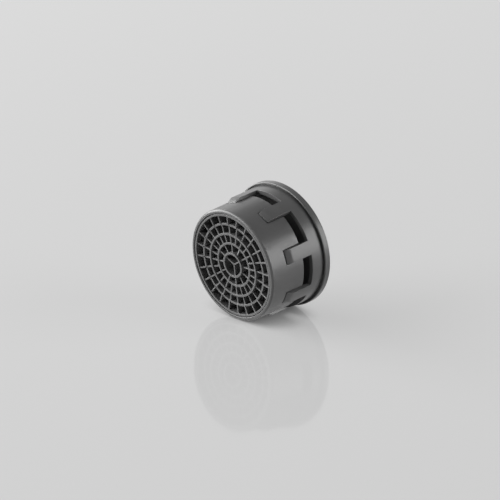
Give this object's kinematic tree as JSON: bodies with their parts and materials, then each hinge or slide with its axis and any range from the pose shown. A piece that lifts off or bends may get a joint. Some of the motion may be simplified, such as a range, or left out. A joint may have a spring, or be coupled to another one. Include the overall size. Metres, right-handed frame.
{
  "type": "tap aerator insert",
  "caption": "Round snap-together aerator insert for a tap spout: flanged housing with snap legs and air windows, outlet cup with a ring-and-spoke grille, inlet strainer on top.",
  "frame": {"origin": "centre of the outlet rim, on the surface that the insert stands on", "axes": "+Z along the axis from the outlet towards the inlet, +X through the middle of one snap leg"},
  "size_m": [0.0214, 0.0214, 0.0137],
  "materials": {
    "body_plastic": "satin moulded grey",
    "grille_plastic": "satin moulded grey",
    "inner_plastic": "satin moulded dark grey",
    "strainer_plastic": "satin moulded grey",
    "screen_steel": "stainless mesh"
  },
  "bodies": {
    "root": {"inlet_housing": "body_plastic", "outlet_cup": "body_plastic", "outlet_grille": "grille_plastic", "lower_screen": "screen_steel", "upper_screen": "screen_steel", "screen_spacer": "inner_plastic", "screen_ring": "inner_plastic", "jet_splitter": "inner_plastic", "inlet_strainer": "strainer_plastic"}
  },
  "joints": []
}
